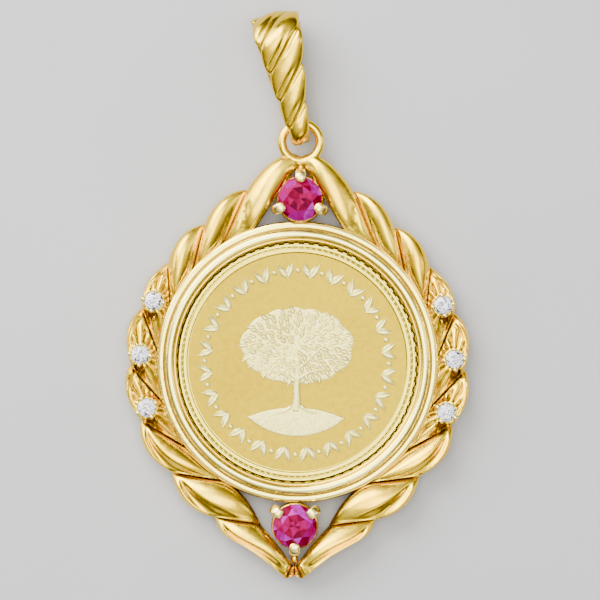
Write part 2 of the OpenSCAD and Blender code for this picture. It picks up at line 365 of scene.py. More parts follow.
def noiseAt(tree, scale, detail, stretch=(1, 1, 1), turn=0.0):
    # noise on Object coordinates; scale is in cycles for each metre
    where = tree.nodes.new("ShaderNodeTexCoord")
    spun = addNode(tree, "ShaderNodeMapping", [("Vector", where.outputs["Object"]), ("Scale", stretch),
                                               ("Rotation", (0, 0, turn))])
    return addNode(tree, "ShaderNodeTexNoise",
                   [("Vector", spun.outputs[0]), ("Scale", scale), ("Detail", detail)]).outputs[0]


def rampOf(tree, value, stops):
    # stops: (position, colour or grey)
    ramp = addNode(tree, "ShaderNodeValToRGB", [(0, value)])
    band = ramp.color_ramp
    while len(band.elements) < len(stops):
        band.elements.new(0.5)
    for element, (at, tone) in zip(band.elements, stops):
        element.position = at
        element.color = (*tone, 1) if isinstance(tone, tuple) else (tone, tone, tone, 1)
    return ramp.outputs[0]


def addBump(tree, shader, layers):
    # layers: (height socket, strength, distance in metres), the first one lowest
    normal = None
    for height, strength, distance in layers:
        inputs = [("Height", height), ("Strength", strength), ("Distance", distance)]
        if normal:
            inputs.append(("Normal", normal))
        normal = addNode(tree, "ShaderNodeBump", inputs).outputs[0]
    tree.links.new(normal, shader.inputs["Normal"])


def mixOf(tree, factor, first, second):
    # first and second: a colour socket or a colour
    inputs = [("Factor", factor)]
    for key, tone in ((6, first), (7, second)):
        inputs.append((key, (*tone, 1.0) if isinstance(tone, tuple) else tone))
    return addNode(tree, "ShaderNodeMix", inputs, data_type="RGBA").outputs[2]


def distanceFrom(tree, place=(0, 0, 0), flat=False):
    # distance in metres from a place; flat leaves out the height
    where = tree.nodes.new("ShaderNodeTexCoord").outputs["Object"]
    spot = addNode(tree, "ShaderNodeMapping", [("Vector", where), ("Scale", (1, 1, 0 if flat else 1))])
    return addNode(tree, "ShaderNodeVectorMath", [(0, spot.outputs[0]), (1, place)],
                   operation="DISTANCE").outputs["Value"]


def ringBands(tree, low, high, stops):
    # a grey by the distance from the coin's axis, between two radii; stops: (radius in mm, grey)
    share = addNode(tree, "ShaderNodeMapRange", [
        ("Value", distanceFrom(tree, flat=True)), ("From Min", low * mm), ("From Max", high * mm)])
    return rampOf(tree, share.outputs[0], [((r - low) / (high - low), grey) for r, grey in stops])


def grooveShade(tree, colour):
    # painted shade: deeper and redder gold, the deeper a point lies in a groove
    groove = addNode(tree, "ShaderNodeAttribute", attribute_name="groove").outputs["Fac"]
    share = rampOf(tree, groove, [(0.0, 0.0), (0.6, 1.0)])
    deep = rampOf(tree, groove, [
        (0.2, (0.80, 0.62, 0.02)), (0.6, (0.40, 0.235, 0.0)), (1.0, (0.04, 0.01, 0.0))])
    return mixOf(tree, share, colour, deep)


# the bezel's bands, each with its range of radii: a paler tone painted on the dome and the outer band as
# painted light, and dark lines of painted shade; and the tarnished place on its left in metres
bezelTones = {
    "pale": (1.0, 0.86, 0.22), "dark": (0.03, 0.013, 0.0),
    "paintedLightBands": (7.0, 8.2, [
        (7.26, 0.0), (7.32, 1.0), (7.66, 1.0), (7.69, 0.3), (7.74, 0.3), (7.80, 0.65)]),
    "paintedShadeLines": (6.9, 8.3, [
        (7.00, 0.95), (7.04, 0.0), (7.14, 0.0), (7.16, 0.45), (7.19, 0.0), (7.66, 0.0), (7.69, 0.75),
        (7.73, 0.75), (7.76, 0.0), (8.12, 0.0), (8.17, 0.6)]),
    "outerBand": (7.5, 8.0, [(7.74, 0.0), (7.80, 1.0)]),
    "tarnishAt": (-0.0076, -0.0028, 0.0015), "tarnishFrom": 0.005, "tarnishFull": 0.002}


def bezelShade(tree, colour):
    # painted light: paler on the dome and the outer band; painted shade: dark in the gap round the coin, in
    # the lip's groove, in the step's line and at the outer edge; and tarnish: dark specks on the left
    tones = bezelTones
    # painted shade: dark lines in the gap round the coin, the lip's groove, the step and at the outer edge
    lines = ringBands(tree, *tones["paintedShadeLines"])
    near = addNode(tree, "ShaderNodeMapRange", [
        ("Value", distanceFrom(tree, tones["tarnishAt"])), ("From Min", tones["tarnishFrom"]),
        ("From Max", tones["tarnishFull"])])
    # tarnish, the bezel's own wear: dark specks on the left of the outer band
    specks = rampOf(tree, noiseAt(tree, 7500, 3, (0.5, 1, 1), 0.9), [(0.55, 0.0), (0.64, 0.45)])
    spotted = times(tree, near.outputs[0], ringBands(tree, *tones["outerBand"]))
    dark = mathNode(tree, "MAXIMUM", lines, times(tree, spotted, specks))
    # painted light: a paler gold on the dome and the outer band
    colour = mixOf(tree, ringBands(tree, *tones["paintedLightBands"]), colour, tones["pale"])
    return mixOf(tree, dark, colour, tones["dark"])


def makeGold(name, tone, deep, rough, wave, scratch, grain, shade=grooveShade):
    # polished gold with hand-polished waves, fine scratches, small changes of tone, and the painted light
    # and shade that its shade function adds
    material, tree, shader = newMaterial(name, Metallic=1.0, Roughness=rough[0])
    colour = rampOf(tree, noiseAt(tree, 420, 3), [(0.3, deep), (0.62, tone)])
    tree.links.new(shade(tree, colour), shader.inputs["Base Color"])
    gloss = rampOf(tree, noiseAt(tree, 1900, 4), [(0.35, rough[0]), (0.7, rough[1])])
    tree.links.new(gloss, shader.inputs["Roughness"])
    waves = noiseAt(tree, 1150, 1)
    lines = noiseAt(tree, 5200, 3, (0.12, 1, 1), 0.6)
    specks = noiseAt(tree, 17000, 2)
    addBump(tree, shader, [(waves, wave, 0.00006), (lines, scratch, 0.000006), (specks, grain, 0.000004)])
    return material


# tone, deeper tone, roughness from and to, the strength of waves, scratches and grain, and the function that
# paints light and shade into its colour
goldSet = {
    "wreathGold": ((1.0, 0.69, 0.03), (0.97, 0.57, 0.0), (0.20, 0.32), 0.25, 0.5, 0.5),
    "bezelGold": ((1.0, 0.74, 0.06), (0.98, 0.66, 0.02), (0.14, 0.26), 0.10, 0.6, 0.35, bezelShade),
    "ringGold": ((1.0, 0.72, 0.04), (0.98, 0.62, 0.01), (0.16, 0.28), 0.20, 0.4, 0.3),
    "bailGold": ((0.86, 0.58, 0.02), (0.82, 0.48, 0.0), (0.18, 0.30), 0.22, 0.5, 0.4),
    "clawGold": ((1.0, 0.82, 0.26), (0.98, 0.72, 0.12), (0.18, 0.30), 0.30, 0.5, 0.5)}
wreathGold, bezelGold, ringGold, bailGold, clawGold = [makeGold(name, *goldSet[name]) for name in goldSet]

# the coin's finishes, from darker to lighter patches, the rim's tone, and the wall's painted shade, and its
# bands, each with its range of radii
coinTones = {
    "field": ((0.29, 0.196, 0.0), (0.32, 0.219, 0.0)), "frost": ((0.86, 0.72, 0.12), (0.95, 0.88, 0.36)),
    "rim": (0.74, 0.59, 0.06), "wall": (0.015, 0.006, 0.0),
    "rimBands": (6.3, 6.95, [
        (6.34, 0.0), (6.36, 1.0), (6.59, 0.9), (6.63, 0.3), (6.69, 0.3), (6.73, 1.0)]),
    "wallBands": (6.3, 6.95, [(6.88, 0.0), (6.90, 1.0)])}


def makeCoinField():
    # satin fine gold with faint specks and hairlines, a brighter rim, and painted shade: the wall and reeds
    # painted dark, where the gap under the bezel's lip lies in shadow
    material, tree, shader = newMaterial("coinField", Metallic=1.0, Roughness=0.28)
    dull, bright = coinTones["field"]
    colour = rampOf(tree, noiseAt(tree, 260, 2), [(0.3, dull), (0.7, bright)])
    colour = mixOf(tree, ringBands(tree, *coinTones["rimBands"]), colour, coinTones["rim"])
    # painted shade on the coin's wall and reeds, in the gap under the lip
    colour = mixOf(tree, ringBands(tree, *coinTones["wallBands"]), colour, coinTones["wall"])
    tree.links.new(colour, shader.inputs["Base Color"])
    gloss = rampOf(tree, noiseAt(tree, 3000, 4), [(0.3, 0.24), (0.75, 0.36)])
    tree.links.new(gloss, shader.inputs["Roughness"])
    hairs = noiseAt(tree, 4200, 3, (0.06, 1, 1), 0.35)
    specks = noiseAt(tree, 15000, 2)
    addBump(tree, shader, [(hairs, 0.35, 0.000003), (specks, 0.35, 0.000003)])
    return material


def makeCoinFrost():
    # frosted relief: pale and sandy, brighter on its grains
    material, tree, shader = newMaterial("coinFrost", Metallic=1.0, Roughness=0.5)
    dull, bright = coinTones["frost"]
    grains = noiseAt(tree, 11000, 3)
    tree.links.new(rampOf(tree, grains, [(0.35, dull), (0.6, bright)]), shader.inputs["Base Color"])
    gloss = rampOf(tree, noiseAt(tree, 5000, 2), [(0.3, 0.42), (0.7, 0.6)])
    tree.links.new(gloss, shader.inputs["Roughness"])
    addBump(tree, shader, [(grains, 0.8, 0.000016)])
    return material


coinField, coinFrost = makeCoinField(), makeCoinFrost()


def makeStone(name, ior, clear, gleam, shine, sparkle, stops):
    # cut stone: each facet gets its own painted tone, a painted reflection of the light inside the stone,
    # broken up by a fine noise of painted sparkle
    material, tree, shader = newMaterial(name, Roughness=0.02, IOR=ior, Transmission_Weight=clear,
                                         Specular_IOR_Level=gleam, Specular_Tint=shine)
    facet = addNode(tree, "ShaderNodeAttribute", attribute_name="facet").outputs["Fac"]
    scale, amount = sparkle
    inside = mathNode(tree, "MULTIPLY_ADD", noiseAt(tree, scale, 1), amount, -amount / 2)
    tree.links.new(rampOf(tree, plus(tree, facet, inside), stops), shader.inputs["Base Color"])
    return material


# the ruby's and the diamond's tones are painted reflections, from dark facets to bright glints
rubyStone = makeStone("rubyStone", 1.76, 0.04, 0.13, (1.0, 0.06, 0.30), (2600, 0.5), [
    (0.0, (0.02, 0.0, 0.001)), (0.3, (0.13, 0.0, 0.01)), (0.55, (0.24, 0.0, 0.055)),
    (0.75, (0.22, 0.0, 0.12)), (1.0, (0.40, 0.03, 0.38))])
diamondStone = makeStone("diamondStone", 2.2, 0.10, 0.40, (1.0, 1.0, 1.0), (8000, 3.2), [
    (0.0, (0.03, 0.025, 0.05)), (0.30, (0.20, 0.18, 0.30)), (0.45, (0.95, 0.93, 1.0)),
    (1.0, (1.0, 1.0, 1.0))])
print("materials made")


# wreath

# the wreath's right side: notchX, notchY, innerX, innerY, bulge, lean, full, bow, bowLean, ridge
lobeTable = [
    [0.00, 11.88, 0.00, 11.45, 0.67, 0.65, 0.8, 0.65, 1.90, 2.05],
    [3.08, 9.92, 4.45, 6.70, 0.51, 0.85, 0.8, 0.00, 1.00, 2.10],
    [5.52, 7.90, 6.15, 5.20, 0.49, 0.85, 0.9, 0.00, 1.00, 2.10],
    [7.63, 5.65, 7.40, 3.15, 0.48, 1.00, 1.0, 0.00, 1.00, 2.00],
    [9.10, 2.97, 8.04, 0.30, 0.585, 0.80, 1.1, 0.00, 1.00, 2.00],
    [9.74, -0.36, 7.60, -2.65, 0.545, 0.90, 0.8, 0.00, 1.00, 2.00],
    [9.04, -3.53, 6.20, -5.13, 0.64, 0.90, 0.9, 0.00, 1.00, 2.10],
    [7.18, -6.56, 4.05, -6.95, 0.63, 1.00, 0.8, 0.26, 1.00, 2.10],
    [4.72, -9.05, 1.95, -9.50, 0.41, 0.45, 3.6, 0.05, 1.00, 2.05],
    [0.50, -12.60, 0.10, -11.80, 0.00, 1.00, 1.0, 0.00, 1.00, 1.60],
    [0.00, -12.42, 0.00, -11.73, 0.00, 1.00, 1.0, 0.00, 1.00, 1.60]]

wreathSet = {
    "under": 0.35, "girth": 0.95, "seatRadius": 8.08, "grooveShare": 0.35,
    "softLobes": (0, 1, 2), "setLobes": (3, 4, 5), "leafLobes": (6, 7, 8),
    # power of the dome, and how far the painted shade reaches from the notches and how dark it is
    "softShape": (0.42, 0.14, 0.40), "firmShape": (0.55, 0.07, 0.6),
    "stations": [40, 40, 40, 60, 60, 60, 44, 44, 44], "tipStations": 4,
    "topSides": 58, "lowSides": 14,
    "strandDepth": 0.16, "rimAt": 0.06, "rimWidth": 0.030, "rimRise": 0.18, "facetDepth": 0.20,
    "fluteDepth": 0.15, "flutes": 16}

diamondSet = {
    # x, y, the girdle's height, and the angle of the first bead
    "seats": [[8.40, 3.42, 1.80, 100], [9.11, 0.28, 1.80, 95], [8.69, -2.79, 1.80, 60]],
    "radius": 0.54, "gap": 0.03, "bead": 0.15, "beadSquash": 0.8, "beadReach": 0.60, "beadLift": 0.06,
    "seatRise": 0.03,
    # the three-cornered cuts: lean above and below the middle, distance from the stone, half width,
    # length, foot and head, and how narrow the foot is
    "cutLean": (0.10, -0.42), "cutFoot": 0.68, "cutHalf": 0.30, "cutLong": 0.44,
    "cutHeights": (0.90, 2.4), "cutNarrow": 0.75,
    # where the cuts' walls get painted shade: distance from the stone, reach round it, and heights
    "markMiddle": 0.84, "markReach": 0.36, "markLow": 0.85, "markHigh": 1.9, "markDeep": 1.3}
rubySet = {
    "radius": 1.3, "girdle": 1.8, "gap": 0.03,
    # name, y, the prongs' angles, and the solder bar's angle
    "baskets": [("top", 9.45, (90, 205, 335), 90), ("bottom", -9.51, (142, 38, 270), 270)],
    # radius, height and half thickness of the gallery wires
    "wires": [(1.25, 0.95, 0.13), (1.25, 1.58, 0.08)],
    # a prong from its foot to its tip: distance from the stone's axis, height, width, thickness
    "prong": [(1.25, 0.60, 0.36, 0.34), (1.42, 1.05, 0.40, 0.38), (1.53, 1.50, 0.48, 0.44),
              (1.56, 1.85, 0.56, 0.42), (1.46, 2.09, 0.60, 0.36), (1.26, 2.20, 0.60, 0.30),
              (1.06, 2.20, 0.54, 0.24), (0.92, 2.17, 0.42, 0.18)],
    "barFrom": 1.2, "barTo": 2.25, "barHeight": 0.9, "barThick": 0.42}


def notchOf(k):
    return np.array(lobeTable[k][0:2])


def innerOf(k):
    return np.array(lobeTable[k][2:4])


def leftOf(v):
    return np.array([-v[1], v[0]])


def outerEdge(k, t):
    a, b = notchOf(k), notchOf(k + 1)
    bulge, lean, full = lobeTable[k][4:7]
    return a + (b - a) * t + leftOf(unit(b - a)) * bulge * bump(t, lean, full)


def innerEdge(k, t):
    a, b = innerOf(k), innerOf(k + 1)
    bow, lean = lobeTable[k][7:9]
    p = a + (b - a) * t - leftOf(unit(b - a)) * bow * bump(t, lean)
    reach = np.linalg.norm(p)
    return p * wreathSet["seatRadius"] / reach if reach < wreathSet["seatRadius"] else p


def lobeTop(k, t, v, flat):
    # height over the girth and the groove mark, the strength of painted shade, t of the way along the lobe
    # and v across it from outside in
    w = wreathSet
    soft, leaf = k in w["softLobes"], k in w["leafLobes"]
    power, near, dark = w["softShape" if soft else "firmShape"]
    dome = np.sqrt(np.clip(4 * v * (1 - v), 0, None)) ** power
    along = w["grooveShare"] + (1 - w["grooveShare"]) * bump(t, 1, 0.55)
    rise = lobeTable[k][9] - w["girth"]
    if leaf:
        # a hollow facet outside the leaf's crest
        crest = 0.16 + 0.55 * t
        facet = np.clip((v - 0.10) / (crest - 0.10), 0, 1)
        hollow = np.where(v < crest, bump(1 - facet, 1.6) * ease(0.04, 0.11, v), 0)
        dome = dome - w["facetDepth"] * hollow * ease(0.0, 0.25, t) * ease(1.0, 0.75, t)
    height = dome * along * rise
    # painted shade at both notches and along the inner edge by the bezel
    mark = np.maximum(hill(t, near) + hill(1 - t, near), ease(0.80, 0.96, v)) * ease(0.02, 0.15, v)
    mark = mark * dark
    if soft:
        # lines between the strands, near both ends of the lobe
        strand = hill(t - (0.90 - 0.10 * v), 0.035) * ease(0.30, 0.60, v) * ease(1.0, 0.92, v)
        second = hill(t - (0.10 + 0.05 * v), 0.03) * ease(0.35, 0.7, v) * ease(1.0, 0.92, v)
        height = height - w["strandDepth"] * strand - 0.5 * w["strandDepth"] * second
        # painted shade along the lines between the strands
        mark = np.maximum(mark, 0.4 * strand + 0.25 * second)
    else:
        # a rolled rim along the outside and across the lower end
        rim = hill(v - w["rimAt"], w["rimWidth"]) * ease(0.02, 0.2, t)
        turned = hill(t - 0.94, 0.03) * ease(0.05, 0.12, v) * ease(0.95, 0.80, v)
        high = w["rimRise"] * (0.5 if leaf else 1.0)
        height = height + high * np.maximum(rim, turned)
    if k in w["setLobes"]:
        # flutes that run together on the diamond at the lobe's lower end
        seat = diamondSet["seats"][k - w["setLobes"][0]]
        stone = np.array(seat[:2])
        d, up = flat - stone, unit(notchOf(k) * 0.6 + innerOf(k) * 0.4 - stone)
        around = np.arctan2(d @ leftOf(up), d @ up)
        channel = ease(0.12, 0.19, v) * ease(0.96, 0.88, v) * ease(0.0, 0.10, t) * ease(1.0, 0.9, t)
        flutes = (0.5 + 0.5 * np.cos(around * w["flutes"] + 0.4)) ** 1.5
        height = height - channel * (0.10 + w["fluteDepth"] * flutes)
        # painted shade in the flutes
        mark = np.maximum(mark, channel * (0.05 + 0.6 * flutes))
    return height, mark


def wreathSection(k, t):
    w = wreathSet
    low = np.pi * (1 + np.arange(w["lowSides"]) / w["lowSides"])
    top = np.pi * np.arange(w["topSides"]) / w["topSides"]
    angles = np.concatenate([top, low])
    v = (1 - np.cos(angles)) / 2
    a, b = outerEdge(k, t), innerEdge(k, t)
    flat = a + np.outer(v, b - a)
    sunk = np.abs(np.sin(low)) ** 0.5 * (w["girth"] - w["under"])
    rise, mark = lobeTop(k, t, v[:len(top)], flat[:len(top)])
    height = np.concatenate([np.clip(rise, 0, None), -sunk])
    return np.column_stack([flat, w["girth"] + height, np.concatenate([mark, np.zeros(len(low))])])


def cutFrame(seat, side):
    # the middle of a diamond's place, and the directions down through its cut and across it
    above, below = diamondSet["cutLean"]
    down = unit([side * (above if seat[1] > 0 else below), -1.0])
    return np.array([side * seat[0], seat[1]]), down, leftOf(down)


def shapeDiamondSeats(points):
    # levels the wreath's top where the beads stand, and raises an edge round each cut below them
    for seat in diamondSet["seats"]:
        for side in (-1, 1):
            centre, down, across = cutFrame(seat, side)
            d = points[:, :2] - centre
            far = np.hypot(d[:, 0], d[:, 1])
            p, q = d @ down, d @ across
            top = points[:, 2] > 1.2
            near = hill(far - diamondSet["beadReach"], 0.12) * top
            points[:, 2] += near * (seat[2] + diamondSet["seatRise"] - points[:, 2]) * 0.85
            half = 0.34 * (1 - (p - 0.58) / 0.80)
            inside = (p > 0.45) & (p < 1.45) & top
            edge = hill(np.abs(q) - np.clip(half, 0, None), 0.06) * ease(0.5, 0.62, p) * ease(1.5, 1.2, p)
            points[:, 2] += np.where(inside, 0.10 * edge, 0)
    return points


def seatRings(stone, foot, head):
    # a seat's rings of height and radius from the girdle, with some room for the stone
    r, gap = stone["radius"], stone["gap"]
    return [*foot, (-gap, r + gap), (0.08 * r + 0.05, r + gap), head]


def seatCutters():
    # the seats under the stones, and the three-cornered cuts below the diamonds
    s, r, gap = diamondSet, diamondSet["radius"], diamondSet["gap"]
    rings = seatRings(s, [(-0.82 * r - gap, 0.05)], (0.45, r + 0.10))
    shapes, cuts = [], []
    for seat in s["seats"]:
        for side in (-1, 1):
            centre, down, across = cutFrame(seat, side)
            shapes.append(lathe(rings, (*centre, seat[2]), 48))
            foot, half = centre + down * s["cutFoot"], across * s["cutHalf"]
            corners = [foot - half, foot + half, foot + down * s["cutLong"]]
            cuts.append(prism(corners, *s["cutHeights"], s["cutNarrow"]))
    r, gap = rubySet["radius"], rubySet["gap"]
    rings = seatRings(rubySet, [(-1.4, 0.55), (-0.82 * r, 0.6)], (0.6, r + gap))
    for name, y, *_ in rubySet["baskets"]:
        shapes.append(lathe(rings, (0, y, rubySet["girdle"]), 64))
    return joinShapes(shapes), joinShapes(cuts)


def paintCutShade(wreath):
    # paints shade on the walls of the cuts below the diamonds, as dark as the deepest grooves
    s = diamondSet
    layer = wreath.data.attributes["groove"]
    for point, mark in zip(wreath.data.vertices, layer.data):
        x, y, z = point.co / mm
        for seat in s["seats"]:
            centre, down, _ = cutFrame(seat, 1)
            middle = centre + down * s["markMiddle"]
            far = math.hypot(abs(x) - middle[0], y - middle[1])
            if s["markLow"] < z < s["markHigh"] and far < s["markReach"]:
                mark.value = max(mark.value, 1.0 if z < s["markDeep"] else 0.75)


def lathe(rings, centre, sides):
    # rings: (height, radius) from the lowest up
    angles = roundAngles(sides)
    points = [ringRow(centre, r, angles, centre[2] + z) for z, r in rings]
    return np.vstack(points), tubeFaces(len(rings), sides, False)


def prism(corners, low, high, narrow):
    # an upright prism over flat corners, narrower at its foot
    c = np.array(corners)
    middle = c.mean(0)
    foot = np.column_stack([middle + (c - middle) * narrow, np.full(len(c), low)])
    head = np.column_stack([c, np.full(len(c), high)])
    return np.vstack([foot, head]), tubeFaces(2, len(c), False)


def buildWreath():
    half = []
    for k, count in enumerate(wreathSet["stations"]):
        for i in range(count):
            half.append(wreathSection(k, (1 - math.cos(math.pi * i / count)) / 2))
    tip = len(lobeTable) - 2
    for i in range(wreathSet["tipStations"] + 1):
        half.append(wreathSection(tip, i / wreathSet["tipStations"]))
    sections = half + [section * np.array([-1, 1, 1, 1]) for section in half[-2:0:-1]]
    points = shapeDiamondSeats(np.vstack(sections))
    faces = tubeFaces(len(sections), len(half[0]), True)
    wreath = solidPiece("wreath", points[:, :3], faces, wreathGold, marks=points[:, 3])
    for cutter in seatCutters():
        cutWith(wreath, *cutter)
    paintCutShade(wreath)
    closeMesh(wreath.data, sharpAt=50)
    finishPiece(wreath, "frame")
    return wreath


wreath = buildWreath()
print("wreath:", len(wreath.data.polygons), "faces")


# bezel and top ring

bezelSet = {
    "middle": 7.6, "steps": 320, "corner": 0.045, "cornerSteps": 3,
    # radius and height, round the section
    "outline": [
        (6.40, 0.0), (8.03, 0.0), (8.18, 0.15), (8.18, 1.42), (8.12, 1.53), (7.96, 1.575), (7.79, 1.56),
        (7.73, 1.47), (7.70, 1.66), (7.68, 1.82), (7.61, 1.92), (7.51, 1.975), (7.41, 1.99), (7.31, 1.975),
        (7.22, 1.93), (7.17, 1.85), (7.155, 1.76), (7.13, 1.80), (7.08, 1.80), (7.03, 1.76), (7.00, 1.68),
        (7.00, 1.50), (7.10, 1.50), (7.10, 0.50), (6.40, 0.50)]}
ringSet = {"y": 12.76, "radius": 1.1, "wire": 0.265, "z": 1.42, "steps": 96, "sides": 28}


def softOutline(corners, cut, steps):
    # rounds each corner of a closed outline
    c = np.array(corners, float)
    made = []
    for i in range(len(c)):
        before, here, after = c[i - 1], c[i], c[(i + 1) % len(c)]
        reach = min(cut, 0.35 * np.linalg.norm(here - before), 0.35 * np.linalg.norm(after - here))
        a, b = here + unit(before - here) * reach, here + unit(after - here) * reach
        for t in np.linspace(0, 1, steps + 1):
            made.append((1 - t) ** 2 * a + 2 * t * (1 - t) * here + t * t * b)
    return np.array(made)


def outlineShape(flat):
    # the sweep's own y runs downwards, so the outline is turned over
    n = len(flat)
    edges = [(i, (i + 1) % n) for i in range(n)]
    return np.column_stack([flat[:, 0], -flat[:, 1], np.zeros(n)]), [], edges


def wireShape(radius, sides):
    angles = roundAngles(sides)
    return outlineShape(radius * np.column_stack([np.cos(angles), np.sin(angles)]))


def buildBezel():
    flat = softOutline(bezelSet["outline"], bezelSet["corner"], bezelSet["cornerSteps"])
    flat[:, 0] -= bezelSet["middle"]
    bezel = growPiece("bezel", outlineShape(flat), sweepTree,
                      {"Radius": bezelSet["middle"] * mm, "Steps": bezelSet["steps"], "Material": bezelGold})
    finishPiece(bezel, "frame")


def buildTopRing():
    ring = growPiece("top_ring", wireShape(ringSet["wire"], ringSet["sides"]), sweepTree,
                     {"Radius": ringSet["radius"] * mm, "Steps": ringSet["steps"],
                      "Centre": metres(0, ringSet["y"], ringSet["z"]), "Material": ringGold})
    finishPiece(ring, "frame")


buildBezel()
buildTopRing()
print("bezel and top ring made")


# stones

# a round brilliant cut on a girdle of radius 1: number of points, radius, height, turn in degrees
cutSet = {
    "table": (8, 0.57, 0.37, 22.5), "crown": (8, 0.80, 0.244, 0), "girdleTop": (16, 1.0, 0.05, 0),
    "girdleLow": (16, 1.0, 0.0, 0), "low": (8, 0.238, -0.624, 0), "star": (8, 0.26, 0.37, 0)}


def brilliant(radius, centre, turn):
    # table, stars, kites, girdle and pavilion; the table's parts show the pavilion's
    rings = [ringRow((0, 0), r, turn + math.radians(start) + roundAngles(count), z)
             for count, r, z, start in cutSet.values()]
    points = np.vstack([*rings, [[0, 0, -0.80], [0, 0, 0.37]]])
    # where each ring starts, and the last two points: the pavilion's tip and the table's middle
    t, c, g, h, l, s, tip, middle = 0, 8, 16, 32, 48, 56, 64, 65
    faces = []
    for i in range(8):
        j, e, o, n = (i + 1) % 8, 2 * i, 2 * i + 1, (2 * i + 2) % 16
        faces += [(middle, s + i, s + j), (s + i, t + i, s + j), (s + j, t + i, t + j)]
        faces += [(t + i, c + j, t + j), (t + i, c + i, g + o, c + j)]
        faces += [(c + i, g + e, g + o), (c + j, g + o, g + n)]
        faces += [(g + e, h + e, h + o, g + o), (g + o, h + o, h + n, g + n)]
        faces += [(l + i, h + o, h + e), (l + j, h + n, h + o), (l + i, tip, l + j, h + o)]
    return points * radius + np.array(centre), faces


def paintFacetLight(stone, seed):
    # painted light for each facet: a tone from 0, dark, to 1, bright; the flat table is painted darker
    chance = np.random.default_rng(seed)
    layer = stone.data.attributes.new("facet", "FLOAT_COLOR", "CORNER")
    for face in stone.data.polygons:
        tone = chance.uniform(0.0, 0.65) if face.normal.z > 0.99 else chance.uniform(0.25, 1.0)
        for corner in face.loop_indices:
            layer.data[corner].color = (tone, tone, tone, 1.0)


def buildStones():
    for i, (name, y, *_) in enumerate(rubySet["baskets"]):
        shape = brilliant(rubySet["radius"], (0, y, rubySet["girdle"]), 0.2)
        stone = solidPiece("ruby_cut_" + name, *shape, rubyStone, smooth=False)
        paintFacetLight(stone, 40 + i)
        finishPiece(stone, "ruby_" + name)
    for side, word in ((-1, "left"), (1, "right")):
        for i, seat in enumerate(diamondSet["seats"]):
            shape = brilliant(diamondSet["radius"], (side * seat[0], seat[1], seat[2]), 0.3 + 0.5 * i)
            stone = solidPiece(f"diamond_cut_{word}_{i + 1}", *shape, diamondStone, smooth=False)
            paintFacetLight(stone, 50 + 3 * i + side)
            finishPiece(stone, f"diamond_{word}_{i + 1}")


buildStones()
print("stones cut")


# ruby baskets and diamond beads

def outAt(degrees):
    return np.array([math.cos(math.radians(degrees)), math.sin(math.radians(degrees)), 0])


def buildBasket(name, y, prongs, bar):
    s, middle = rubySet, np.array([0, y, 0.0])
    shapes = []
    for degrees in prongs:
        out = outAt(degrees)
        path = [(*(middle + out * r)[:2], z, w, h) for r, z, w, h in s["prong"]]
        rod = roundedEnds(smoothPath(path, 5), 0.16)
        shapes.append(sweptRod(rod, (*leftOf(out), 0), 24, 2.7))
    claws = solidPiece("claws_" + name, *joinShapes(shapes), clawGold)
    finishPiece(claws, "frame")
    for i, (radius, height, wire) in enumerate(s["wires"]):
        gallery = growPiece(f"gallery_{name}_{i + 1}", wireShape(wire, 16), sweepTree,
                            {"Radius": radius * mm, "Steps": 72, "Centre": metres(0, y, height),
                             "Material": ringGold})
        finishPiece(gallery, "frame")
    out = outAt(bar)
    path = [(*(middle + out * r)[:2], s["barHeight"], s["barThick"], s["barThick"])
            for r in np.linspace(s["barFrom"], s["barTo"], 8)]
    solder = solidPiece("solder_bar_" + name, *sweptRod(roundedEnds(path, 0.1), (1, 0, 0), 20), ringGold)
    finishPiece(solder, "frame")


def beadShape(radius, squash):
    rows, sides = 7, 14
    lifts = [-math.pi / 2 + math.pi * (i + 0.5) / rows for i in range(rows)]
    return loftShape([ringRow((0, 0), radius * math.cos(lift), roundAngles(sides),
                              radius * squash * math.sin(lift)) for lift in lifts])


def buildBeads():
    bead = beadShape(diamondSet["bead"], diamondSet["beadSquash"])
    for side, word in ((-1, "left"), (1, "right")):
        for i, seat in enumerate(diamondSet["seats"]):
            turn = seat[3] if side > 0 else 180 - seat[3]
            beads = growPiece(f"beads_{word}_{i + 1}", bead, ringTree, {
                "Count": 4, "Radius": diamondSet["beadReach"] * mm, "Start": math.radians(turn),
                "Size Spread": 0.14, "Seed": 11 + i + 3 * side, "Material": clawGold,
                "Centre": metres(side * seat[0], seat[1], seat[2] + diamondSet["beadLift"])})
            finishPiece(beads, "frame")


for basket in rubySet["baskets"]:
    buildBasket(*basket)
buildBeads()
print("claws and beads made")


# coin

